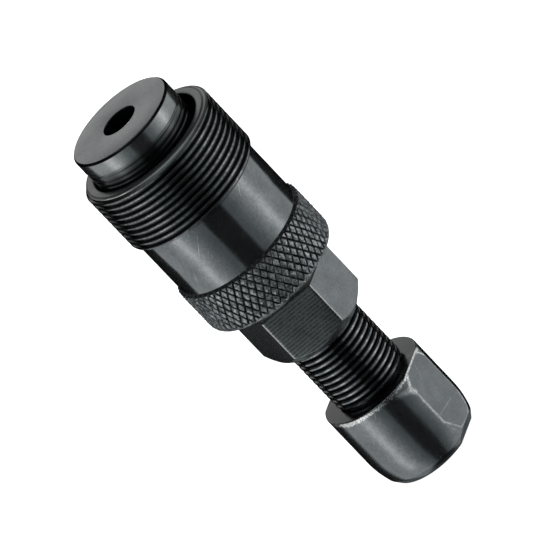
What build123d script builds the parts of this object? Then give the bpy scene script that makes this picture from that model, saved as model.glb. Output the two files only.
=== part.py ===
from build123d import *
import math
import os

# Bicycle crank puller: a turned body that screws into the crank arm, a drive screw that
# runs through it, and a press pad that swivels on the nose of the screw.
# It stands on the end of the screw's head. Z runs up the common axis, from the head to
# the pad, with the origin at the middle of the head's end face. Lengths are millimetres.

# Puller body, from its front end down
crank_thread_diameter = 21.9     # crests of the M22 x 1 male thread
crank_thread_length = 9.55
lead_chamfer_width = 0.8         # across the front ring
lead_chamfer_height = 0.5
barrel_diameter = 20.5
barrel_length = 10.15
collar_diameter = 21.44          # over the knurl
collar_length = 7.2
collar_lower_chamfer_width = 0.36
collar_lower_chamfer_height = 0.5
neck_diameter = 14.2
neck_length = 1.9
hex_across_flats = 14.8          # takes a 15 mm spanner
hex_length = 9.05
hex_chamfer = 1.95               # 45 degrees, across the corners
front_bore_diameter = 18.0
front_bore_depth = 10.0
front_bore_chamfer = 0.2
nut_entry_chamfer = 0.25

# Drive screw
screw_thread_diameter = 11.8     # crests of the M12 x 1 thread
screw_clearance = 0.05           # around the screw in the body's thread
screw_neck_diameter = 10.6
screw_neck_length = 0.55
head_diameter = 16.38
head_height = 13.75
head_flats = 15.0                # across the two spanner flats
head_flat_bevel_height = 1.6     # a bevel ends each flat at the far end
head_flat_bevel_width = 1.13
head_flat_angle = -31.0          # degrees, the way the first flat faces
head_top_round = 0.25
head_taper_height = 3.9          # the long rounding at the far end
head_taper_width = 0.58
head_end_chamfer_height = 1.05
head_end_chamfer_width = 0.72
screw_exposed_length = 11.05     # bare screw between the head and the body
nose_diameter = 9.0
nose_chamfer = 0.4
nose_end_play = 0.1              # between the nose and the pad's floor
shoulder_gap = 0.4               # between the pad's skirt and the end of the screw's thread

# Press pad
pad_diameter = 16.54
pad_standout = 4.85              # how far the pad stands above the body's front face
pad_height = 8.0
pad_floor_thickness = 2.6
pad_hole_diameter = 5.4
pad_chamfer = 0.26
pad_skirt_step = 0.06            # the skirt is this much slimmer than the pad's edge
pad_band_height = 2.5            # plain band above the grooves
pad_groove_count = 3
pad_groove_pitch = 0.95
pad_groove_width = 0.36
pad_groove_depth = 0.14
pad_mouth_chamfer = 0.4
swivel_play = 0.45               # loose fit of the pad around the nose
pad_shift = 0.42                 # the loose pad has slid this far off the screw's axis
pad_shift_angle = 191.6          # degrees

# Retaining ring, which keeps the pad on the nose
ring_width = 1.5                 # along the radius
ring_thickness = 1.0             # along the axis
ring_gap_angle = 50.0
ring_height = 2.2                # its lower face above the pad's lower end
ring_clearance = 0.15            # around the ring in both grooves

# Worked out from the values above
body_bottom = head_height + screw_exposed_length
hex_top = body_bottom + hex_length
collar_bottom = hex_top + neck_length
collar_top = collar_bottom + collar_length
barrel_top = collar_top + barrel_length
body_top = barrel_top + crank_thread_length
pad_top = body_top + pad_standout
pad_bottom = pad_top - pad_height
pad_floor = pad_top - pad_floor_thickness
nose_top = pad_floor - nose_end_play
thread_top = pad_bottom - shoulder_gap
ring_bottom = pad_bottom + ring_height
ring_top = ring_bottom + ring_thickness

thread_radius = crank_thread_diameter / 2
barrel_radius = barrel_diameter / 2
collar_radius = collar_diameter / 2
screw_radius = screw_thread_diameter / 2
nut_radius = screw_radius + screw_clearance
nose_radius = nose_diameter / 2
socket_radius = nose_radius + swivel_play
ring_inner_radius = nose_radius - ring_width / 2 + swivel_play / 2
ring_outer_radius = ring_inner_radius + ring_width
hex_corner_radius = hex_across_flats / 2 / math.cos(math.radians(30))


def revolved(outline):
    """Turn a closed outline of (radius, height) points about the Z axis."""
    with BuildPart() as turned:
        with BuildSketch(Plane.XZ):
            with BuildLine():
                Polyline(*outline, close=True)
            make_face()
        revolve(axis=Axis.Z)
    return turned.part


def make_body():
    """Turn the outside, mill the hexagon, then bore the front and the nut."""
    collar_step = collar_radius - barrel_radius
    run_out = thread_radius - barrel_radius
    outside = revolved([
        (0, body_bottom),
        (hex_corner_radius - hex_chamfer, body_bottom),
        (hex_corner_radius, body_bottom + hex_chamfer),
        (hex_corner_radius, hex_top),
        (neck_diameter / 2, hex_top),
        (neck_diameter / 2, collar_bottom),
        (collar_radius - collar_lower_chamfer_width, collar_bottom),
        (collar_radius, collar_bottom + collar_lower_chamfer_height),
        (collar_radius, collar_top - collar_step),
        (barrel_radius, collar_top),
        (barrel_radius, barrel_top),
        (thread_radius, barrel_top + run_out),
        (thread_radius, body_top - lead_chamfer_height),
        (thread_radius - lead_chamfer_width, body_top),
        (0, body_top),
    ])
    with BuildPart() as hexagon:
        with BuildSketch(Plane.XY.offset(body_bottom)):
            RegularPolygon(hex_across_flats / 2, 6, major_radius=False, rotation=30)
        extrude(amount=hex_length)
    with BuildPart() as turned_end:
        with Locations((0, 0, body_bottom)):
            Cylinder(thread_radius, hex_length, align=(Align.CENTER, Align.CENTER, Align.MIN))
    body = outside - (turned_end.part - hexagon.part)
    bore_radius = front_bore_diameter / 2
    bore_floor = body_top - front_bore_depth
    bore = revolved([
        (0, body_bottom),
        (nut_radius + nut_entry_chamfer, body_bottom),
        (nut_radius, body_bottom + nut_entry_chamfer),
        (nut_radius, bore_floor - nut_entry_chamfer),
        (nut_radius + nut_entry_chamfer, bore_floor),
        (bore_radius, bore_floor),
        (bore_radius, body_top - front_bore_chamfer),
        (bore_radius + front_bore_chamfer, body_top),
        (0, body_top),
    ])
    return body - bore


def make_screw():
    """One turned bar: round-ended head with two milled flats, neck, threaded length and nose."""
    head_radius = head_diameter / 2
    taper_bottom_radius = head_radius - head_taper_width
    end_radius = taper_bottom_radius - head_end_chamfer_width
    taper_top = head_end_chamfer_height + head_taper_height
    groove_radius = ring_inner_radius - ring_clearance
    thread_end_chamfer = screw_radius - nose_radius
    with BuildPart() as screw:
        with BuildSketch(Plane.XZ):
            with BuildLine():
                Polyline((0, 0), (end_radius, 0), (taper_bottom_radius, head_end_chamfer_height))
                TangentArc(
                    (head_radius, taper_top),
                    (taper_bottom_radius, head_end_chamfer_height),
                    tangent=(0, -1),
                )
                Polyline(
                    (head_radius, taper_top),
                    (head_radius, head_height - head_top_round),
                )
                RadiusArc(
                    (head_radius, head_height - head_top_round),
                    (head_radius - head_top_round, head_height),
                    -head_top_round,
                )
                Polyline(
                    (head_radius - head_top_round, head_height),
                    (screw_neck_diameter / 2, head_height),
                    (screw_neck_diameter / 2, head_height + screw_neck_length),
                    (screw_radius, head_height + screw_neck_length),
                    (screw_radius, thread_top - thread_end_chamfer),
                    (nose_radius, thread_top),
                    (nose_radius, ring_bottom - ring_clearance),
                    (groove_radius, ring_bottom - ring_clearance),
                    (groove_radius, ring_top + ring_clearance),
                    (nose_radius, ring_top + ring_clearance),
                    (nose_radius, nose_top - nose_chamfer),
                    (nose_radius - nose_chamfer, nose_top),
                    (0, nose_top),
                    (0, 0),
                )
            make_face()
        revolve(axis=Axis.Z)
    flat = head_flats / 2
    with BuildPart() as cutter:
        with BuildSketch(Plane.XZ):
            with BuildLine():
                Polyline(
                    (flat, head_height),
                    (flat, head_flat_bevel_height),
                    (flat - 2 * head_flat_bevel_width, -head_flat_bevel_height),
                    (head_diameter, -head_flat_bevel_height),
                    (head_diameter, head_height),
                    close=True,
                )
            make_face()
        extrude(amount=head_radius, both=True)
    first_flat = Rot(0, 0, head_flat_angle) * cutter.part
    second_flat = Rot(0, 0, head_flat_angle + 180) * cutter.part
    return screw.part - first_flat - second_flat


def make_pad():
    """Cap with a through hole, a socket for the nose, an inner groove and outer grooves."""
    edge_radius = pad_diameter / 2
    skirt_radius = edge_radius - pad_skirt_step
    band_bottom = pad_top - pad_band_height
    outline = [
        (pad_hole_diameter / 2, pad_top),
        (edge_radius - pad_chamfer, pad_top),
        (edge_radius, pad_top - pad_chamfer),
        (edge_radius, band_bottom + pad_skirt_step),
        (skirt_radius, band_bottom),
    ]
    for index in range(pad_groove_count):
        middle = band_bottom - pad_groove_width / 2 - pad_skirt_step - index * pad_groove_pitch
        outline += [
            (skirt_radius, middle + pad_groove_width / 2),
            (skirt_radius - pad_groove_depth, middle),
            (skirt_radius, middle - pad_groove_width / 2),
        ]
    inner_groove_radius = ring_outer_radius + pad_shift + ring_clearance
    outline += [
        (skirt_radius, pad_bottom + pad_chamfer),
        (skirt_radius - pad_chamfer, pad_bottom),
        (socket_radius + pad_mouth_chamfer, pad_bottom),
        (socket_radius, pad_bottom + pad_mouth_chamfer),
        (socket_radius, ring_bottom - ring_clearance),
        (inner_groove_radius, ring_bottom - ring_clearance),
        (inner_groove_radius, ring_top + ring_clearance),
        (socket_radius, ring_top + ring_clearance),
        (socket_radius, pad_floor),
        (pad_hole_diameter / 2, pad_floor),
    ]
    shift = math.radians(pad_shift_angle)
    return Pos(pad_shift * math.cos(shift), pad_shift * math.sin(shift), 0) * revolved(outline)


def make_ring():
    """Split ring of square wire, sprung into the grooves of the nose and the pad."""
    with BuildPart() as ring:
        with BuildSketch(Plane.XZ):
            with Locations((ring_inner_radius + ring_width / 2, ring_bottom + ring_thickness / 2)):
                Rectangle(ring_width, ring_thickness)
        revolve(axis=Axis.Z, revolution_arc=360 - ring_gap_angle)
    return ring.part


nodes = {
    "puller_body": make_body(),
    "drive_screw": make_screw(),
    "press_pad": make_pad(),
    "retaining_ring": make_ring(),
}
os.makedirs("parts", exist_ok=True)
for name, solid in nodes.items():
    export_step(solid, f"parts/{name}.step")
    box = solid.bounding_box()
    print(f"{name}: {solid.volume:.1f} mm3, z {box.min.Z:.2f} to {box.max.Z:.2f}, {len(solid.solids())} solid")
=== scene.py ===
import math

import bmesh
import bpy
from mathutils import Matrix, Vector, noise


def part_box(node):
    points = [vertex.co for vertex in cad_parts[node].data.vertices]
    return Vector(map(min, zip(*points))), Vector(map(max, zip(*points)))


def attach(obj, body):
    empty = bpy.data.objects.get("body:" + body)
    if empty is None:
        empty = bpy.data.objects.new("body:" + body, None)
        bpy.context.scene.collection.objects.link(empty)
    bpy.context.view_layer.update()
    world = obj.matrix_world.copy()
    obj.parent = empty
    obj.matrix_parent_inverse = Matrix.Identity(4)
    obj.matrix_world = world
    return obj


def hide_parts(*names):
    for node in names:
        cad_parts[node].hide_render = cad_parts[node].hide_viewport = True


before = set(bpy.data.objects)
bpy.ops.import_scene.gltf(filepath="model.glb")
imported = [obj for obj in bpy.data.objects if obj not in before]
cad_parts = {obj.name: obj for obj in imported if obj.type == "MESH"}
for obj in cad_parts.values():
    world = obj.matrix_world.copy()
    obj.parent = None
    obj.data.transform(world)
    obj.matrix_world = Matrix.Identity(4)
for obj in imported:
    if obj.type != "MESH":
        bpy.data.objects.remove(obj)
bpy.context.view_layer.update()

mm = 0.001


# Places read from the frame, in millimetres

def nodeHeights(node):
    low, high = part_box(node)
    return low.z / mm, high.z / mm


def nodeMiddle(node):
    low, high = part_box(node)
    return Vector(((low.x + high.x) / 2, (low.y + high.y) / 2, 0)) / mm


bodyLow, bodyHigh = nodeHeights("puller_body")
screwLow, screwHigh = nodeHeights("drive_screw")
padLow, padHigh = nodeHeights("press_pad")
padMiddle = nodeMiddle("press_pad")


# Mesh helpers: every shape is made in millimetres about the Z axis

def chain(bm, points, closed=True):
    verts = [bm.verts.new((radius, 0, height)) for radius, height in points]
    edges = [bm.edges.new(pair) for pair in zip(verts, verts[1:])]
    if closed:
        edges.append(bm.edges.new((verts[-1], verts[0])))
    return verts, edges


def everything(bm):
    return bm.verts[:] + bm.edges[:] + bm.faces[:]


def vertsIn(made):
    return [g for g in made if isinstance(g, bmesh.types.BMVert)]


def softenCorners(bm, verts, size):
    corners = [v for v in verts if v.co.x > 0]
    bmesh.ops.bevel(bm, geom=corners, offset=size, offset_type="OFFSET", segments=2,
                    profile=0.5, affect="VERTICES", material=-1, clamp_overlap=True)


def turn(bm, steps):
    bmesh.ops.spin(bm, geom=bm.verts[:] + bm.edges[:], cent=(0, 0, 0), axis=(0, 0, 1),
                   angle=math.tau, steps=steps, use_merge=True)
    bmesh.ops.remove_doubles(bm, verts=bm.verts[:], dist=1e-5)


def turned(points, steps, corner=0.0):
    bm = bmesh.new()
    verts = chain(bm, points)[0]
    if corner:
        softenCorners(bm, verts, corner)
    turn(bm, steps)
    return bm


def radiusOf(co):
    return math.hypot(co.x, co.y)


def setRadius(vert, radius):
    now = radiusOf(vert.co)
    vert.co.x *= radius / now
    vert.co.y *= radius / now


def openLoop(bm, height):
    return [e for e in bm.edges if e.is_boundary and abs(e.verts[0].co.z - height) < 1e-3]


def runLoop(bm, loop, points):
    for radius, height in points:
        made = bmesh.ops.extrude_edge_only(bm, edges=loop)["geom"]
        for vert in vertsIn(made):
            setRadius(vert, radius)
            vert.co.z = height
        loop = [g for g in made if isinstance(g, bmesh.types.BMEdge) and g.is_boundary]
    return loop


def bevelSharp(bm, angle, size, keep, segments=2):
    sharp = [e for e in bm.edges
             if e.is_manifold and e.calc_face_angle(0) > math.radians(angle) and keep(e)]
    bmesh.ops.bevel(bm, geom=sharp, offset=size, offset_type="OFFSET", segments=segments,
                    profile=0.5, affect="EDGES", material=-1, clamp_overlap=True)


def finishPiece(bm, name, body, material, smooth, replaced=None, shift=None):
    bmesh.ops.remove_doubles(bm, verts=bm.verts[:], dist=1e-4)
    bmesh.ops.dissolve_degenerate(bm, edges=bm.edges[:], dist=1e-5)
    bmesh.ops.recalc_face_normals(bm, faces=bm.faces[:])
    place = Matrix.Scale(mm, 4) @ Matrix.Translation(shift or Vector())
    bmesh.ops.transform(bm, matrix=place, verts=bm.verts[:])
    mesh = bpy.data.meshes.new(name)
    bm.to_mesh(mesh)
    bm.free()
    mesh.polygons.foreach_set("use_smooth", [True] * len(mesh.polygons))
    mesh.set_sharp_from_angle(angle=math.radians(smooth))
    piece = bpy.data.objects.new(name, mesh)
    bpy.context.scene.collection.objects.link(piece)
    mesh.materials.append(material)
    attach(piece, body)
    if replaced:
        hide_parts(replaced)
    print("made", name, "with", len(mesh.polygons), "faces")


# Shader maths as Python expressions

class Value:
    def __init__(self, shop, socket):
        self.shop = shop
        self.socket = socket

    def maths(self, operation, *others):
        return self.shop.node("ShaderNodeMath", {"operation": operation}, self, *others)

    def __add__(self, other):
        return self.maths("ADD", other)

    __radd__ = __add__

    def __mul__(self, other):
        return self.maths("MULTIPLY", other)

    __rmul__ = __mul__

    def __sub__(self, other):
        return self.maths("SUBTRACT", other)

    def __rsub__(self, other):
        return self.shop.node("ShaderNodeMath", {"operation": "SUBTRACT"}, other, self)

    def __truediv__(self, other):
        return self.maths("DIVIDE", other)

    def __abs__(self):
        return self.maths("ABSOLUTE")

    def __pow__(self, other):
        return self.maths("POWER", other)

    def hypot(self, other):
        return (self * self + other * other) ** 0.5

    def least(self, other):
        return self.maths("MINIMUM", other)

    def most(self, other):
        return self.maths("MAXIMUM", other)

    def sine(self):
        return self.maths("SINE")

    def ramp(self, low, high):
        settings = {"interpolation_type": "SMOOTHSTEP"}
        return self.shop.node("ShaderNodeMapRange", settings, self, low, high, 0.0, 1.0)


class Shop:
    def __init__(self, name):
        self.material = bpy.data.materials.new(name)
        self.material.use_nodes = True
        self.tree = self.material.node_tree
        self.tree.nodes.clear()

    def node(self, kind, settings=None, *inputs, output=0, **named):
        node = self.tree.nodes.new(kind)
        for key, value in (settings or {}).items():
            setattr(node, key, value)
        sockets = list(enumerate(inputs)) + [(key.replace("_", " "), v) for key, v in named.items()]
        for key, value in sockets:
            socket = node.inputs[key]
            if isinstance(value, Value):
                self.tree.links.new(value.socket, socket)
            elif value is not None:
                socket.default_value = value
        return Value(self, node.outputs[output]) if len(node.outputs) else None

    def place(self, location=(0, 0, 0), turn=0.0):
        # object coordinates in millimetres, centred and turned on the piece
        source = self.node("ShaderNodeTexCoord", output="Object")
        middle = tuple(part * mm for part in location)
        rotation = (0, 0, math.radians(turn))
        return self.node("ShaderNodeMapping", {"vector_type": "TEXTURE"},
                         source, middle, rotation, (mm, mm, mm))

    def split(self, vector):
        node = self.tree.nodes.new("ShaderNodeSeparateXYZ")
        self.tree.links.new(vector.socket, node.inputs[0])
        return [Value(self, out) for out in node.outputs]

    def join(self, x, y, z):
        return self.node("ShaderNodeCombineXYZ", None, x, y, z)

    def grain(self, vector, scale, detail, rough=0.55):
        return self.node("ShaderNodeTexNoise", None, Vector=vector, Scale=scale,
                         Detail=detail, Roughness=rough)

    def blend(self, factor, first, second):
        node = self.tree.nodes.new("ShaderNodeMix")
        node.data_type = "RGBA"
        for key, value in ((0, factor), (6, first), (7, second)):
            if isinstance(value, Value):
                self.tree.links.new(value.socket, node.inputs[key])
            else:
                node.inputs[key].default_value = value
        return Value(self, node.outputs[2])

    def bump(self, height):
        # the height is in millimetres
        return self.node("ShaderNodeBump", None, Height=height, Distance=mm, Strength=1.0)

    def finish(self, colour, roughness, normal, metallic):
        surface = self.node("ShaderNodeBsdfPrincipled", None, Base_Color=colour,
                            Roughness=roughness, Metallic=metallic, Normal=normal)
        self.node("ShaderNodeOutputMaterial", None, surface)
        return self.material


def nearLine(a, b, start, end, width):
    # 1 on the line from start to end, fading to 0 at the given width
    across, along = end[0] - start[0], end[1] - start[1]
    a = a - start[0]
    b = b - start[1]
    part = (a * across + b * along) * (1 / (across ** 2 + along ** 2))
    part = part.most(0.0).least(1.0)
    gap = (a - part * across).hypot(b - part * along)
    return 1 - gap.ramp(width * 0.15, width)


# cloud, speck, grit and streak: how many to the millimetre
oxide = {"dark": (0.099, 0.106, 0.113), "light": (0.158, 0.165, 0.173),
         "bare": (0.62, 0.62, 0.61, 1), "shadow": (0.012, 0.013, 0.014, 1), "roughness": 0.13,
         "metallic": 0.97, "cloud": 0.35, "speck": 6.0, "grit": 2.4, "streak": 5.0,
         "streakSlope": -0.6, "scratchBare": 0.17, "scratchDepth": 0.004, "rowDark": 0.62,
         "rowDepth": 0.004}


def shaded(colour, shade):
    return tuple(part * shade for part in colour) + (1,)


def scratches(shop, x, y, z, count):
    # long thin marks around the turned surfaces: a stretched noise, kept only where it peaks
    slope = oxide["streakSlope"]
    around = shop.node("ShaderNodeMath", {"operation": "ARCTAN2"}, y, x) * 9.0
    stretched = shop.join(around + z * slope, (z - around * slope) * 0.05, z * 0.01)
    streaks = shop.grain(stretched, oxide["streak"], 2.0)
    return streaks.ramp(0.72 - count * 0.1, 0.78)


def frontFace(y):
    # 1 on the hexagon's face that points along -Y
    face = hexagon["flats"] / 2
    return (-1 * y).ramp(face - 0.06, face - 0.03)


def oxideFinish(name, marks, wearAndHighlight=None, shadeAndGrime=None, roughen=None, place=Shop.place, shade=1.0,
                roughness=oxide["roughness"], grainBump=0.003, rows=None, marksFrom=0.1):
    # marks: how many scratches; marksFrom: the radius where they start, to keep ends clear;
    # the wear mask: where bare metal shows and where highlights are painted; the darkening mask:
    # painted shade in grooves, bores and hollows, with grime in some threads; shade: how much
    # lighter the oxide colour is painted for a piece, standing in for how light falls on it;
    # rows: distance between the milling rows
    shop = Shop(name)
    coords = place(shop)
    x, y, z = shop.split(coords)
    cloud = shop.grain(coords, oxide["cloud"], 4.0)
    speck = shop.grain(coords, oxide["speck"], 3.0)
    grit = shop.grain(coords, oxide["grit"], 3.0, 0.7)
    tone = (cloud * 0.35 + speck * 0.3 + grit * 0.35).ramp(0.34, 0.66)
    colour = shop.blend(tone, shaded(oxide["dark"], shade), shaded(oxide["light"], shade))
    scratch = scratches(shop, x, y, z, marks) * x.hypot(y).ramp(marksFrom - 0.1, marksFrom)
    bare = scratch * oxide["scratchBare"]
    if wearAndHighlight:
        bare = bare.most(wearAndHighlight(shop, x, y, z, speck))
    colour = shop.blend(bare, colour, oxide["bare"])
    if shadeAndGrime:
        colour = shop.blend(shadeAndGrime(shop, x, y, z, speck), colour, oxide["shadow"])
    rough = roughness + (speck - 0.5) * 0.08 + bare * 0.1
    if roughen:
        rough = rough + roughen(z)
    height = (speck + grit) * grainBump - scratch * oxide["scratchDepth"]
    if rows:
        # short milling marks with painted shade in their bottoms, strongest on the front face
        waver = shop.grain(shop.join(x * 0.2, y * 0.2, z * 0.2), 1.0, 2.0)
        wave = ((z + waver * 0.3) * (math.tau / rows)).sine() * 0.5 + 0.5
        dashes = shop.grain(shop.join(x * 2.4, y * 2.4, z / rows), 1.0, 3.0, 0.6)
        mark = wave * (dashes.ramp(0.3, 0.6) * 0.7 + 0.3) * (frontFace(y) + 0.12)
        colour = shop.blend(mark * oxide["rowDark"], colour, oxide["shadow"])
        height = height - mark * oxide["rowDepth"]
    return shop.finish(colour, rough, shop.bump(height), oxide["metallic"])


# Puller body: front thread, barrel, knurled collar, hexagon

body = {"threadRadius": 10.95, "threadDepth": 0.5, "pitch": 1.0, "threadEnd": 9.55,
        "leadWidth": 0.8, "leadHeight": 0.5, "runOut": 0.6, "runOutRise": 2.0,
        "barrelRadius": 10.25, "barrelLength": 10.15, "barrelEdge": 0.07, "boreRadius": 9.0,
        "boreDepth": 10.0, "boreCorner": 0.2, "nutRadius": 5.95, "nutChamfer": 0.25,
        "nutSeam": 2.0, "steps": 180, "threadCrest": 53.26}


def threadChain(pitch, depth, radius, turns, low):
    # one 60 degree thread form: flat crest, sloping flanks, rounded root
    shape = [(0.0, 0.0), (0.13, 0.0), (0.18, 0.08), (0.29, 0.5), (0.40, 0.93), (0.45, 1.0),
             (0.55, 1.0), (0.60, 0.93), (0.71, 0.5), (0.82, 0.08), (0.87, 0.0)]
    points = []
    for turnIndex in range(turns):
        for part, fall in shape:
            points.append((radius - depth * fall, low + (turnIndex + part) * pitch))
    return points


def helicalThread(bm, pitch, depth, radius, low, high, steps, crest):
    # crest: a height at which a ridge crosses the X axis
    start = low - pitch - (low - crest) % pitch - pitch
    turns = math.ceil((high - start) / pitch) + 1
    verts, edges = chain(bm, threadChain(pitch, depth, radius, turns, start), closed=False)
    bmesh.ops.spin(bm, geom=verts + edges, cent=(0, 0, 0), axis=(0, 0, 1),
                   dvec=(0, 0, pitch / steps), angle=math.tau, steps=steps, use_merge=False)
    bmesh.ops.remove_doubles(bm, verts=bm.verts[:], dist=1e-3)


def cutLevel(bm, height, upper):
    bmesh.ops.bisect_plane(bm, geom=everything(bm), dist=1e-5,
                           plane_co=(0, 0, height), plane_no=(0, 0, 1 if upper else -1),
                           clear_outer=True)


def makeBodyFront(material):
    threadLow = bodyHigh - body["threadEnd"]
    barrelHigh = threadLow - body["runOut"]
    bm = bmesh.new()
    helicalThread(bm, body["pitch"], body["threadDepth"], body["threadRadius"],
                  barrelHigh, bodyHigh, body["steps"], body["threadCrest"])
    for vert in bm.verts:
        lead = body["threadRadius"] - body["leadWidth"] * (
            1 - (bodyHigh - vert.co.z) / body["leadHeight"])
        foot = body["barrelRadius"] + body["runOutRise"] * max(0.0, vert.co.z - barrelHigh)
        limit = min(lead, foot, body["threadRadius"])
        if radiusOf(vert.co) > limit:
            setRadius(vert, limit)
    cutLevel(bm, bodyHigh, True)
    cutLevel(bm, barrelHigh, False)
    bore = body["boreRadius"]
    nut = body["nutRadius"]
    chamfer = body["nutChamfer"]
    corner = body["boreCorner"]
    boreFloor = bodyHigh - body["boreDepth"]
    barrelLow = threadLow - body["barrelLength"]
    top = runLoop(bm, openLoop(bm, bodyHigh), [
        (bore + 0.22, bodyHigh), (bore + 0.06, bodyHigh - 0.08), (bore, bodyHigh - 0.25),
        (bore, boreFloor + corner), (bore - corner, boreFloor), (nut + chamfer, boreFloor),
        (nut, boreFloor - chamfer), (nut, barrelLow + body["nutSeam"])])
    edge = body["barrelEdge"]
    barrel = body["barrelRadius"]
    bottom = runLoop(bm, openLoop(bm, barrelHigh), [
        (barrel - edge, barrelHigh), (barrel - 0.3 * edge, barrelHigh - 0.3 * edge),
        (barrel, barrelHigh - edge), (barrel, barrelHigh - 5), (barrel, barrelLow),
        (nut, barrelLow)])
    bmesh.ops.bridge_loops(bm, edges=top + bottom)
    finishPiece(bm, "bodyFront", "puller_body", material,
                smooth=40, replaced="puller_body")


collar = {"radius": 10.78, "length": 7.4, "topChamfer": 0.32, "lowWidth": 0.36, "lowHeight": 0.5,
          "teeth": 58, "diamond": 2.0, "groove": 0.17, "depthA": 0.18, "depthB": 0.12,
          "crown": 0.14, "turn": 0.18, "lift": 0.11, "uneven": 0.3, "worn": 1.3}


def drawnIn(place):
    # moves the quarter lines of the knurl's grid to the edges of its grooves
    whole, part = divmod(round(place * 4), 4)
    return whole + (0, collar["groove"], 0.5, 1 - collar["groove"])[part]


def makeCollar(material):
    high = bodyHigh - body["threadEnd"] - body["barrelLength"]
    low = high - collar["length"]
    knurlHigh = high - collar["topChamfer"]
    rows = math.ceil(collar["length"] / collar["diamond"]) + 1
    span = 2 * rows + 1
    bm = bmesh.new()
    # one slanting band of diamonds, then copies of it all the way round
    bmesh.ops.create_grid(bm, x_segments=4, y_segments=4 * span, size=0.5)
    for vert in bm.verts:
        a = drawnIn(vert.co.x + 0.5)
        b = drawnIn((vert.co.y + 0.5) * span - 2 * rows)
        around = math.tau * ((a + b) / 2 + collar["turn"]) / collar["teeth"]
        height = low + ((a - b) / 2 - 0.5 + collar["lift"]) * collar["diamond"]
        vert.co = (collar["radius"] * math.cos(around), collar["radius"] * math.sin(around), height)
    copies = collar["teeth"] - 1
    bmesh.ops.spin(bm, geom=everything(bm), cent=(0, 0, 0), axis=(0, 0, 1),
                   angle=math.tau * copies / collar["teeth"], steps=copies, use_duplicate=True)
    bmesh.ops.remove_doubles(bm, verts=bm.verts[:], dist=1e-3)
    cutLevel(bm, knurlHigh, True)
    cutLevel(bm, low, False)
    bmesh.ops.bisect_plane(bm, geom=everything(bm), dist=1e-5,
                           plane_co=(0, 0, low + collar["lowHeight"]), plane_no=(0, 0, 1))
    for vert in bm.verts:
        across = math.atan2(vert.co.y, vert.co.x) / math.tau * collar["teeth"] - collar["turn"]
        along = (vert.co.z - low) / collar["diamond"] + 0.5 - collar["lift"]
        uneven = 1 + collar["uneven"] * noise.noise(vert.co * 0.9)
        worn = 1 + collar["worn"] * noise.noise(vert.co * 2.3)
        cuts = []
        for place, depth in ((across + along, collar["depthA"]), (across - along, collar["depthB"])):
            away = abs(place - round(place))
            crown = collar["crown"] * (1 - away / 0.5) * worn
            cuts.append(crown + uneven * depth * max(0.0, 1 - away / collar["groove"]))
        rise = (vert.co.z - low) / collar["lowHeight"]
        limit = collar["radius"] - collar["lowWidth"] * max(0.0, 1 - rise)
        setRadius(vert, min(collar["radius"] - max(cuts), limit))
    nut = body["nutRadius"]
    top = runLoop(bm, openLoop(bm, knurlHigh), [(body["barrelRadius"], high), (nut, high)])
    bottom = runLoop(bm, openLoop(bm, low), [(nut, low)])
    bmesh.ops.bridge_loops(bm, edges=top + bottom)
    finishPiece(bm, "bodyCollar", "puller_body", material, smooth=24)


hexagon = {"flats": 14.8, "length": 9.05, "chamfer": 1.95, "neckRadius": 7.1, "neckLength": 1.9,
           "edge": 0.13, "steps": 180, "millPitch": 0.52, "wornFrom": 8.43, "wornTo": 8.5}


def makeHexagon(material):
    apothem = hexagon["flats"] / 2
    corner = apothem / math.cos(math.radians(30))
    hexTop = bodyLow + hexagon["length"]
    neckTop = hexTop + hexagon["neckLength"]
    nut = body["nutRadius"]
    nutChamfer = body["nutChamfer"]
    bm = turned([
        (nut + nutChamfer, bodyLow), (corner - hexagon["chamfer"], bodyLow),
        (corner, bodyLow + hexagon["chamfer"]), (corner, hexTop),
        (hexagon["neckRadius"], hexTop), (hexagon["neckRadius"], neckTop),
        (nut, neckTop), (nut, bodyLow + nutChamfer)], hexagon["steps"])
    for side in range(6):
        angle = math.radians(30 + 60 * side)
        facing = Vector((math.cos(angle), math.sin(angle), 0))
        bmesh.ops.bisect_plane(bm, geom=everything(bm), dist=1e-5,
                               plane_co=facing * apothem, plane_no=facing, clear_outer=True)
        rim = [e for e in bm.edges if e.is_boundary]
        bmesh.ops.contextual_create(bm, geom=rim)
    bmesh.ops.remove_doubles(bm, verts=bm.verts[:], dist=1e-4)
    bmesh.ops.recalc_face_normals(bm, faces=bm.faces[:])

    def onOutside(edge):
        return min(radiusOf(v.co) for v in edge.verts) > apothem - 0.02

    bevelSharp(bm, 20, hexagon["edge"], keep=onOutside)
    finishPiece(bm, "bodyHexagon", "puller_body", material, smooth=30)


# Drive screw: head with two flats, threaded length, nose

screw = {"threadRadius": 5.9, "threadDepth": 0.6, "pitch": 1.0, "steps": 96, "threadCrest": 14.668,
         "neckRadius": 5.45, "neckLength": 0.25, "runInRise": 2.2, "noseRadius": 4.5,
         "noseChamfer": 0.4, "threadTop": 59.1, "grooveRadius": 3.6, "grooveLow": 2.45,
         "grooveHigh": 3.75, "headRadius": 8.19, "headHeight": 13.75, "flats": 15.0,
         "bevelHeight": 1.6, "bevelWidth": 1.13, "flatAngle": -31.0, "taperHeight": 3.9,
         "taperWidth": 0.58, "taperSteps": 12, "endHeight": 1.05, "endWidth": 0.72,
         "topRound": 0.3, "roundSteps": 6, "edge": 0.16, "headSteps": 180,
         "flatCorners": 50}


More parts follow.
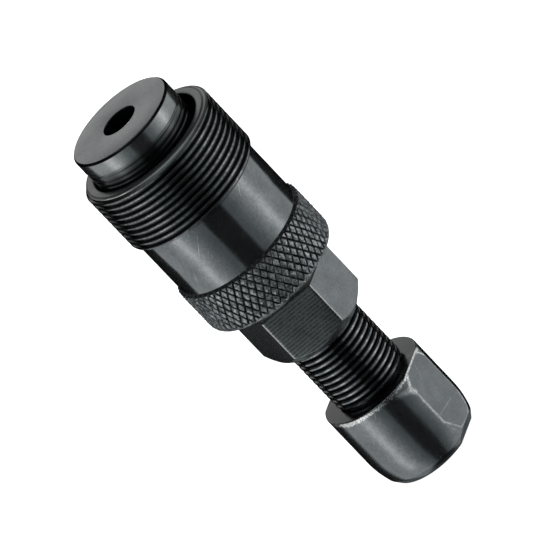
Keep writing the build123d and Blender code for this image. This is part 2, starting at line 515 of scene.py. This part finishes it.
def makeFlatCutter(side):
    # one spanner flat with the bevel at its far end, swept along the flat
    flat = screw["flats"] / 2
    reach = flat + 6
    low = screwLow - screw["bevelHeight"]
    bevelHigh = screwLow + screw["bevelHeight"]
    top = screwLow + screw["headHeight"] + 1
    cutter = bmesh.new()
    edges = chain(cutter, [(flat, top), (flat, bevelHigh), (flat - 2 * screw["bevelWidth"], low),
                           (reach, low), (reach, top)])[1]
    face = bmesh.ops.contextual_create(cutter, geom=edges)["faces"]
    bmesh.ops.translate(cutter, vec=(0, -10, 0), verts=cutter.verts[:])
    made = bmesh.ops.extrude_face_region(cutter, geom=face)["geom"]
    bmesh.ops.translate(cutter, vec=(0, 20, 0), verts=vertsIn(made))
    bmesh.ops.recalc_face_normals(cutter, faces=cutter.faces[:])
    bmesh.ops.rotate(cutter, cent=(0, 0, 0), verts=cutter.verts[:],
                     matrix=Matrix.Rotation(math.radians(screw["flatAngle"] + side), 3, "Z"))
    mesh = bpy.data.meshes.new("flatCutter")
    cutter.to_mesh(mesh)
    cutter.free()
    flatCutter = bpy.data.objects.new("flatCutter", mesh)
    bpy.context.scene.collection.objects.link(flatCutter)
    return flatCutter


def steadyFlats(bm, turnBack):
    # each flat has many corners and is split into triangles from the first one, which differs
    # from run to run, so it always gets the one at its upper left
    def upperLeft(vert):
        spot = turnBack @ vert.co
        return 1.5 * spot.z - math.copysign(1, spot.x) * spot.y

    for face in [f for f in bm.faces if len(f.verts) > screw["flatCorners"]]:
        verts = [loop.vert for loop in face.loops]
        first = verts.index(max(verts, key=upperLeft))
        bm.faces.remove(face)
        bm.faces.new(verts[first:] + verts[:first])


def makeHead(material):
    radius = screw["headRadius"]
    top = screwLow + screw["headHeight"]
    taperLow = screwLow + screw["endHeight"]
    taperRadius = radius - screw["taperWidth"]
    points = [(taperRadius - screw["endWidth"], screwLow), (taperRadius, taperLow)]
    for step in range(1, screw["taperSteps"] + 1):
        part = step / screw["taperSteps"]
        points.append((radius - screw["taperWidth"] * (1 - part) ** 2,
                       taperLow + screw["taperHeight"] * part))
    for step in range(screw["roundSteps"] + 1):
        bend = math.radians(90 * step / screw["roundSteps"])
        points.append((radius - screw["topRound"] * (1 - math.cos(bend)),
                       top - screw["topRound"] * (1 - math.sin(bend))))
    # the thread piece stands in a shallow seat
    seat = screw["neckRadius"] - 0.5
    points += [(seat, top), (seat, top - 1), (0, top - 1), (0, screwLow)]
    bm = turned(points, screw["headSteps"])
    onAxis = [e for e in bm.edges if not e.link_faces]
    bmesh.ops.delete(bm, geom=onAxis, context="EDGES")
    bmesh.ops.recalc_face_normals(bm, faces=bm.faces[:])
    mesh = bpy.data.meshes.new("headBlank")
    bm.to_mesh(mesh)
    bm.free()
    blank = bpy.data.objects.new("headBlank", mesh)
    bpy.context.scene.collection.objects.link(blank)
    cutters = []
    for side in (0, 180):
        flatCutter = makeFlatCutter(side)
        cutters.append(flatCutter)
        cut = blank.modifiers.new("flat", "BOOLEAN")
        cut.operation = "DIFFERENCE"
        cut.solver = "EXACT"
        cut.object = flatCutter
    depsgraph = bpy.context.evaluated_depsgraph_get()
    shaped = bpy.data.meshes.new_from_object(blank.evaluated_get(depsgraph))
    bm = bmesh.new()
    bm.from_mesh(shaped)
    for spare in cutters + [blank]:
        bpy.data.objects.remove(spare)
    bpy.data.meshes.remove(shaped)
    bmesh.ops.remove_doubles(bm, verts=bm.verts[:], dist=1e-4)
    limit = screw["flats"] / 2
    turnBack = Matrix.Rotation(-math.radians(screw["flatAngle"]), 3, "Z")

    def onFlat(edge):
        return all(abs(abs((turnBack @ v.co).x) - limit) < 0.01 for v in edge.verts)

    bevelSharp(bm, 12, screw["edge"], segments=3, keep=onFlat)
    bmesh.ops.remove_doubles(bm, verts=bm.verts[:], dist=1e-4)
    steadyFlats(bm, turnBack)
    finishPiece(bm, "screwHead", "drive_screw", material,
                smooth=28, replaced="drive_screw")


def makeScrewThread(material):
    low = screwLow + screw["headHeight"] + screw["neckLength"]
    high = screw["threadTop"]
    bm = bmesh.new()
    helicalThread(bm, screw["pitch"], screw["threadDepth"], screw["threadRadius"], low, high,
                  screw["steps"], screw["threadCrest"])
    for vert in bm.verts:
        upper = screw["noseRadius"] + max(0.0, high - vert.co.z)
        lower = screw["neckRadius"] + max(0.0, vert.co.z - low) * screw["runInRise"]
        limit = min(upper, lower, screw["threadRadius"])
        if radiusOf(vert.co) > limit:
            setRadius(vert, limit)
    cutLevel(bm, high, True)
    cutLevel(bm, low, False)
    nose = screw["noseRadius"]
    chamfer = screw["noseChamfer"]
    groove = screw["grooveRadius"]
    grooveLow = high + screw["grooveLow"]
    grooveHigh = high + screw["grooveHigh"]
    top = runLoop(bm, openLoop(bm, high), [
        (nose, grooveLow), (groove, grooveLow), (groove, grooveHigh), (nose, grooveHigh),
        (nose, screwHigh - chamfer), (nose - chamfer, screwHigh), (1.0, screwHigh)])
    neck = screw["neckRadius"]
    foot = low - screw["neckLength"]
    bottom = runLoop(bm, openLoop(bm, low), [
        (neck, low - 0.04), (neck, foot - 0.2), (1.0, foot - 0.2)])
    bmesh.ops.holes_fill(bm, edges=top, sides=0)
    bmesh.ops.holes_fill(bm, edges=bottom, sides=0)
    finishPiece(bm, "screwThread", "drive_screw", material, smooth=40)


# Press pad

pad = {"radius": 8.27, "holeRadius": 2.7, "holeEdge": 0.08, "floor": 2.6, "chamfer": 0.3,
       "band": 2.5, "bandRise": 0.12, "skirtStep": 0.05, "skirtChamfer": 0.26, "grooves": 3,
       "grooveStart": 0.18, "groovePitch": 0.88, "grooveWidth": 0.3, "grooveDepth": 0.12,
       "socketRadius": 4.95, "mouthChamfer": 0.4, "edge": 0.04, "steps": 160,
       "shadeFrom": 1.6, "shadeTo": 3.7, "fleck": ((-0.3, -2.75), (1.2, -2.62), 0.22)}


def makePad(material):
    skirt = pad["radius"] - pad["skirtStep"]
    bandLow = padHigh - pad["band"]
    hole = pad["holeRadius"]
    socket = pad["socketRadius"]
    half = pad["grooveWidth"] / 2
    points = [(hole + pad["holeEdge"], padHigh), (pad["radius"] - pad["chamfer"], padHigh),
              (pad["radius"], padHigh - pad["chamfer"]), (pad["radius"], bandLow + pad["bandRise"]),
              (skirt, bandLow)]
    for index in range(pad["grooves"]):
        middle = bandLow - half - pad["grooveStart"] - index * pad["groovePitch"]
        points += [(skirt, middle + half), (skirt - pad["grooveDepth"], middle),
                   (skirt, middle - half)]
    points += [(skirt, padLow + pad["skirtChamfer"]), (skirt - pad["skirtChamfer"], padLow),
               (socket + pad["mouthChamfer"], padLow), (socket, padLow + pad["mouthChamfer"]),
               (socket, padHigh - pad["floor"]), (hole, padHigh - pad["floor"]),
               (hole, padHigh - pad["holeEdge"])]
    bm = turned(points, pad["steps"], corner=pad["edge"])
    finishPiece(bm, "pressPad", "press_pad", material,
                smooth=40, replaced="press_pad", shift=padMiddle)


# Finishes

def bodyRingHighlight(shop, x, y, z, speck):
    # the faced ring and its chamfer are a little lighter, and a painted highlight runs along one
    # turned line on the chamfer
    radius = x.hypot(y)
    leadLow = bodyHigh - body["leadHeight"]
    rim = body["threadRadius"] - body["leadWidth"]
    bore = body["boreRadius"]
    front = z.ramp(leadLow - 0.05, leadLow + 0.05) * 0.12
    line = 1 - abs(z - (bodyHigh - 0.2)).ramp(0.03, 0.1)
    line = line * radius.ramp(rim - 0.05, rim + 0.1) * (speck + 0.4)
    return front.most(line) * radius.ramp(bore + 0.05, bore + 0.15)


def sooty(shop, x, y, z, scale, detail, rough, low, high):
    # 1 in the low places of a noise, 0 in its high ones
    return 1 - shop.grain(shop.join(x, y, z), scale, detail, rough).ramp(low, high)


def bodyShadeAndGrime(shop, x, y, z, speck):
    # painted shade in the thread grooves, in the bore and along the ring's rim, and grime in the
    # thread
    radius = x.hypot(y)
    barrelHigh = bodyHigh - body["threadEnd"] - body["runOut"]
    rim = body["threadRadius"] - body["leadWidth"]
    lead = (bodyHigh - z) * (body["leadWidth"] / body["leadHeight"]) + rim
    depth = lead.least(body["threadRadius"]) - radius
    inThread = z.ramp(barrelHigh - 0.03, barrelHigh + 0.01) * (bodyHigh - z).ramp(0.01, 0.04)
    bore = 1 - radius.ramp(body["boreRadius"] + 0.03, body["boreRadius"] + 0.12)
    rimLine = 1 - abs(radius - rim).ramp(0.02, 0.12)
    rimLine = rimLine * z.ramp(bodyHigh - 0.15, bodyHigh - 0.05) * 0.75
    grime = sooty(shop, x, y, z, 2.4, 3.0, 0.7, 0.36, 0.6) * 0.55
    grime = grime * (1 - z.ramp(bodyHigh - 0.5, bodyHigh - 0.4))
    return (depth.ramp(0.0, 0.26).most(grime) * inThread).most(bore).most(rimLine) * 0.95


def bodyRoughen(z):
    # the faced ring at the front and the thread are coarser than the barrel
    barrelHigh = bodyHigh - body["threadEnd"] - body["runOut"]
    front = z.ramp(bodyHigh - body["leadHeight"], bodyHigh - 0.4) * 0.22
    return front + z.ramp(barrelHigh, barrelHigh + 0.3) * 0.05


def hexagonWearAndLight(shop, x, y, z, speck):
    # rubbed corners, and painted light: a paler step under the collar and a slightly paler front
    # face
    hexTop = bodyLow + hexagon["length"]
    step = z.ramp(hexTop - 0.03, hexTop) * 0.3
    corners = x.hypot(y) + (speck - 0.5) * 0.16
    corners = corners.ramp(hexagon["wornFrom"], hexagon["wornTo"]) * 0.36
    return corners.most(step).most(frontFace(y) * 0.09)


def collarWear(shop, x, y, z, speck):
    # tips of the diamonds worn in specks
    tip = x.hypot(y).ramp(collar["radius"] - 0.12, collar["radius"])
    return shop.grain(shop.join(x, y, z), 3.4, 2.0, 0.6).ramp(0.56, 0.7) * tip * 0.35


def collarShadeAndGrime(shop, x, y, z, speck):
    # painted shade in the knurl grooves and on the narrow chamfer above them, and grime
    low = bodyHigh - body["threadEnd"] - body["barrelLength"] - collar["length"]
    high = low + collar["length"] - collar["topChamfer"]
    rise = (z - low) * (collar["lowWidth"] / collar["lowHeight"])
    top = (rise + (collar["radius"] - collar["lowWidth"])).least(collar["radius"])
    depth = top - x.hypot(y)
    grime = sooty(shop, x, y, z, 2.8, 2.0, 0.6, 0.42, 0.6) * 0.8
    return depth.ramp(0.02, 0.2).most(z.ramp(high - 0.02, high + 0.04)).most(grime) * 0.85


def screwShadeAndGrime(shop, x, y, z, speck):
    # painted shade in the thread grooves, and grime
    grime = sooty(shop, x, y, z, 2.6, 3.0, 0.7, 0.36, 0.6) * 0.5
    return (screw["threadRadius"] - x.hypot(y)).ramp(0.02, 0.3).most(grime) * 0.95


def padSheenAndGlint(shop, x, y, z, speck):
    # the band is painted lighter than the face as a sheen, and a painted glint lies beside the hole
    fleck = nearLine(x, y, *pad["fleck"]) * z.ramp(padHigh - 0.2, padHigh - 0.12)
    band = x.hypot(y).ramp(pad["radius"] - 0.2, pad["radius"] - 0.1) * 0.085
    return band.most(fleck * speck.ramp(0.35, 0.5) * 0.9)


def padPlace(shop):
    return shop.place(location=padMiddle)


def padShade(shop, x, y, z, speck):
    # painted shade: the skirt gets darker towards the body, the hole is black, the chamfer dull
    radius = x.hypot(y)
    inner = pad["radius"] - pad["chamfer"]
    lower = padHigh - pad["chamfer"]
    skirt = (padHigh - z).ramp(pad["shadeFrom"], pad["shadeTo"]) * 0.98
    hole = 1 - radius.ramp(pad["holeRadius"] + 0.02, pad["holeRadius"] + 0.1)
    chamfer = radius.ramp(inner, inner + 0.05) * z.ramp(lower - 0.04, lower) * 0.85
    return skirt.most(hole).most(chamfer) * 0.95


def headPlace(shop):
    return shop.place(turn=screw["flatAngle"])


# worn marks on the head: start and end as the way round the head from the first flat's
# middle and the height, then width and strength
wornLines = {
    "arm": ((-5.9, 12.8), (-4.1, 11.9), 0.65, 0.5),
    "elbow": ((-4.0, 12.0), (-3.5, 11.1), 0.6, 0.85),
    "corner": ((-2.4, 13.6), (-3.8, 12.0), 0.45, 0.85),
    "edge": ((-3.5, 12.0), (-3.5, 4.9), 0.3, 0.5),
    "lowEdge": ((-3.5, 4.9), (-2.8, 3.7), 0.25, 0.45),
    "lowCorner": ((-2.8, 3.7), (-1.6, 1.8), 0.22, 0.3),
    "foot": ((-1.6, 1.8), (1.4, 1.5), 0.2, 0.3),
    "farCorner": ((1.4, 1.5), (2.7, 2.3), 0.2, 0.3),
    "farLow": ((2.7, 2.3), (3.38, 4.9), 0.18, 0.45),
    "farEdge": ((3.4, 12.0), (3.4, 4.9), 0.14, 0.5),
    "farHigh": ((2.6, 13.5), (3.4, 12.0), 0.2, 1.0),
    "brow": ((-2.4, 13.6), (2.6, 13.6), 0.32, 1.0),
    "scratch": ((-3.0, 5.9), (1.2, 5.25), 0.14, 0.2),
}


def headWear(shop, x, y, z, speck):
    # the upper edge is worn bare in patches, and the lines above besides
    top = screwLow + screw["headHeight"]
    around = shop.node("ShaderNodeMath", {"operation": "ARCTAN2"}, y, x) * screw["headRadius"]
    patch = shop.grain(shop.join(x, y, z * 0.6), 0.8, 4.0)
    fine = shop.grain(shop.join(x, y, z), 3.6, 4.0, 0.75)
    high = z + (patch - 0.5) * 1.2 + (fine - 0.5) * 1.2
    marks = high.ramp(top - 0.7, top - 0.35) * (1 - z.ramp(top - 0.08, top))
    marks = marks * x.hypot(y).ramp(7.7, 7.95)
    ragged = around + (fine - 0.5) * 0.3
    for start, end, width, strength in wornLines.values():
        mark = nearLine(ragged, z, start, end, width)
        marks = marks.most(mark * strength)
    return marks * (fine.ramp(0.36, 0.6) * 0.85 + 0.15)


def headShade(shop, x, y, z, speck):
    # painted shade on the upper face and the chamfered end
    top = screwLow + screw["headHeight"]
    taperLow = screwLow + screw["endHeight"]
    end = 1 - z.ramp(taperLow + 0.05, taperLow + 0.2)
    return (z.ramp(top - 0.04, top - 0.01) * 0.8).most(end * 0.45)


# shade paints some pieces' oxide lighter than the rest, standing in for how light falls on them
finishes = {
    "barrel": oxideFinish("satinOxide", wearAndHighlight=bodyRingHighlight, shadeAndGrime=bodyShadeAndGrime, roughen=bodyRoughen,
                          marks=0.9, marksFrom=10.2),
    "knurl": oxideFinish("knurlOxide", wearAndHighlight=collarWear, shadeAndGrime=collarShadeAndGrime, marks=0.0, shade=2.1,
                         roughness=0.3, grainBump=0.07),
    "hexagon": oxideFinish("milledOxide", wearAndHighlight=hexagonWearAndLight, marks=0.1, marksFrom=7.35, shade=1.1,
                           roughness=0.26, rows=hexagon["millPitch"]),
    "head": oxideFinish("wornHeadOxide", wearAndHighlight=headWear, shadeAndGrime=headShade, place=headPlace, marks=0.5,
                        marksFrom=7.4, roughness=0.18, grainBump=0.006),
    "screwThread": oxideFinish("screwThreadOxide", shadeAndGrime=screwShadeAndGrime, marks=0.0, shade=1.25),
    "pad": oxideFinish("facedOxide", wearAndHighlight=padSheenAndGlint, shadeAndGrime=padShade, place=padPlace, marks=0.1,
                       marksFrom=8.1, roughness=0.18),
    "ring": oxideFinish("springRing", marks=0.0, shade=1.6),
}

makeBodyFront(finishes["barrel"])
makeCollar(finishes["knurl"])
makeHexagon(finishes["hexagon"])
makeHead(finishes["head"])
makeScrewThread(finishes["screwThread"])
makePad(finishes["pad"])
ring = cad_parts["retaining_ring"]
ring.data.materials.clear()
ring.data.materials.append(finishes["ring"])
print("pieces done")


# Stage: pale floor, soft boxes, camera

stage = {"floorSize": 8.0, "floorColour": (0.35, 0.35, 0.35, 1), "floorGlow": 0.85,
         "skyStrength": 1.6,
         # upright side boxes, one behind the other: inner and outer azimuth from the camera,
         # radiance; together they glow softly around 68 degrees
         "sideBoxes": [(19, 119.5, 0.38), (31, 119.5, 0.10), (37, 119.5, 0.20), (44, 119.5, 0.24),
                       (50, 119.5, 0.18)],
         "glowBoxes": [(52, 86, 0.17), (56, 80, 0.28), (60, 76, 0.42), (64, 72, 0.42)],
         "sideDistance": 0.60, "boxStep": 0.01, "sideLow": -72.0, "glowLow": -42.0, "sideHigh": 30.0,
         "dimTint": (0.86, 1.0, 1.01), "brightTint": (1.01, 1.0, 0.98),
         # boxes behind, above and below: elevation from the front, distance, size, radiance, tint
         "backBoxes": [(155, 0.62, (0.58, 0.30), 0.9, "brightTint"),
                       (88, 0.60, (0.6, 0.34), 0.42, "dimTint"),
                       (-112, 0.64, (0.8, 0.62), 0.27, "dimTint")]}

shot = {"azimuth": 10.1, "elevation": 23.29, "roll": 43.57, "distance": 1.35, "lens": 632.6,
        "aimHeight": 0.03399, "aimSide": 0.00049}


def away(azimuth, elevation, distance):
    a, e = math.radians(azimuth), math.radians(elevation)
    return Vector((math.sin(a) * math.cos(e), -math.cos(a) * math.cos(e), math.sin(e))) * distance


def makeFloor():
    bm = bmesh.new()
    bmesh.ops.create_grid(bm, x_segments=1, y_segments=1, size=stage["floorSize"] / 2)
    mesh = bpy.data.meshes.new("floor")
    bm.to_mesh(mesh)
    bm.free()
    floor = bpy.data.objects.new("floor", mesh)
    bpy.context.scene.collection.objects.link(floor)
    # half lit, half glowing, so that hardly a shadow shows
    shop = Shop("paleFloor")
    lit = shop.node("ShaderNodeBsdfDiffuse", None, Color=stage["floorColour"])
    glow = shop.node("ShaderNodeEmission", None, Color=(1, 1, 1, 1), Strength=stage["floorGlow"])
    both = shop.node("ShaderNodeAddShader", None, lit, glow)
    shop.node("ShaderNodeOutputMaterial", None, both)
    mesh.materials.append(shop.material)
    floor.visible_glossy = False
    floor.visible_shadow = False


def softBox(name, spot, width, height, radiance, tint, facing=None):
    light = bpy.data.lights.new(name, "AREA")
    light.shape = "RECTANGLE"
    light.size = width
    light.size_y = height
    light.energy = radiance * math.pi * width * height
    light.color = tint
    lamp = bpy.data.objects.new(name, light)
    bpy.context.scene.collection.objects.link(lamp)
    lamp.location = Vector((0, 0, shot["aimHeight"])) + spot
    lamp.rotation_mode = "QUATERNION"
    lamp.rotation_quaternion = (facing or spot).to_track_quat("Z", "Y")


def sideBox(index, inner, outer, low, high, radiance, tint):
    distance = stage["sideDistance"] + index * stage["boxStep"]
    width = 2 * distance * math.tan(math.radians((outer - inner) / 2))
    bottom = distance * math.tan(math.radians(low))
    top = distance * math.tan(math.radians(high))
    for side in (-1, 1):
        level = away(shot["azimuth"] + side * (inner + outer) / 2, 0, distance)
        middle = level + Vector((0, 0, (bottom + top) / 2))
        softBox("sideBox", middle, width, top - bottom, radiance, tint, level)


def makeLights():
    high = stage["sideHigh"]
    for index, (inner, outer, radiance) in enumerate(stage["sideBoxes"]):
        tint = stage["brightTint"] if index else stage["dimTint"]
        sideBox(index, inner, outer, stage["sideLow"], high, radiance, tint)
    for index, (inner, outer, radiance) in enumerate(stage["glowBoxes"], len(stage["sideBoxes"])):
        sideBox(index, inner, outer, stage["glowLow"], high, radiance, stage["brightTint"])
    for elevation, distance, size, radiance, tint in stage["backBoxes"]:
        spot = away(shot["azimuth"], elevation, distance)
        softBox("backBox", spot, *size, radiance, stage[tint])
    world = bpy.data.worlds.new("studio")
    bpy.context.scene.world = world
    world.use_nodes = True
    sky = world.node_tree.nodes["Background"]
    sky.inputs["Color"].default_value = (1, 1, 1, 1)
    sky.inputs["Strength"].default_value = stage["skyStrength"]
    world.cycles_visibility.glossy = False


def makeCamera():
    data = bpy.data.cameras.new("camera")
    camera = bpy.data.objects.new("camera", data)
    bpy.context.scene.collection.objects.link(camera)
    data.lens = shot["lens"]
    data.clip_start = 0.05
    data.clip_end = 50
    back = away(shot["azimuth"], shot["elevation"], 1.0)
    azimuth = math.radians(shot["azimuth"])
    right = Vector((math.cos(azimuth), math.sin(azimuth), 0))
    aim = Vector((0, 0, shot["aimHeight"])) + right * shot["aimSide"]
    camera.location = aim + back * shot["distance"]
    camera.rotation_mode = "QUATERNION"
    level = back.to_track_quat("Z", "Y")
    roll = Matrix.Rotation(-math.radians(shot["roll"]), 3, "Z").to_quaternion()
    camera.rotation_quaternion = level @ roll
    bpy.context.scene.camera = camera
    bpy.context.scene.view_settings.view_transform = "Standard"


makeFloor()
makeLights()
makeCamera()
print("stage and camera done")
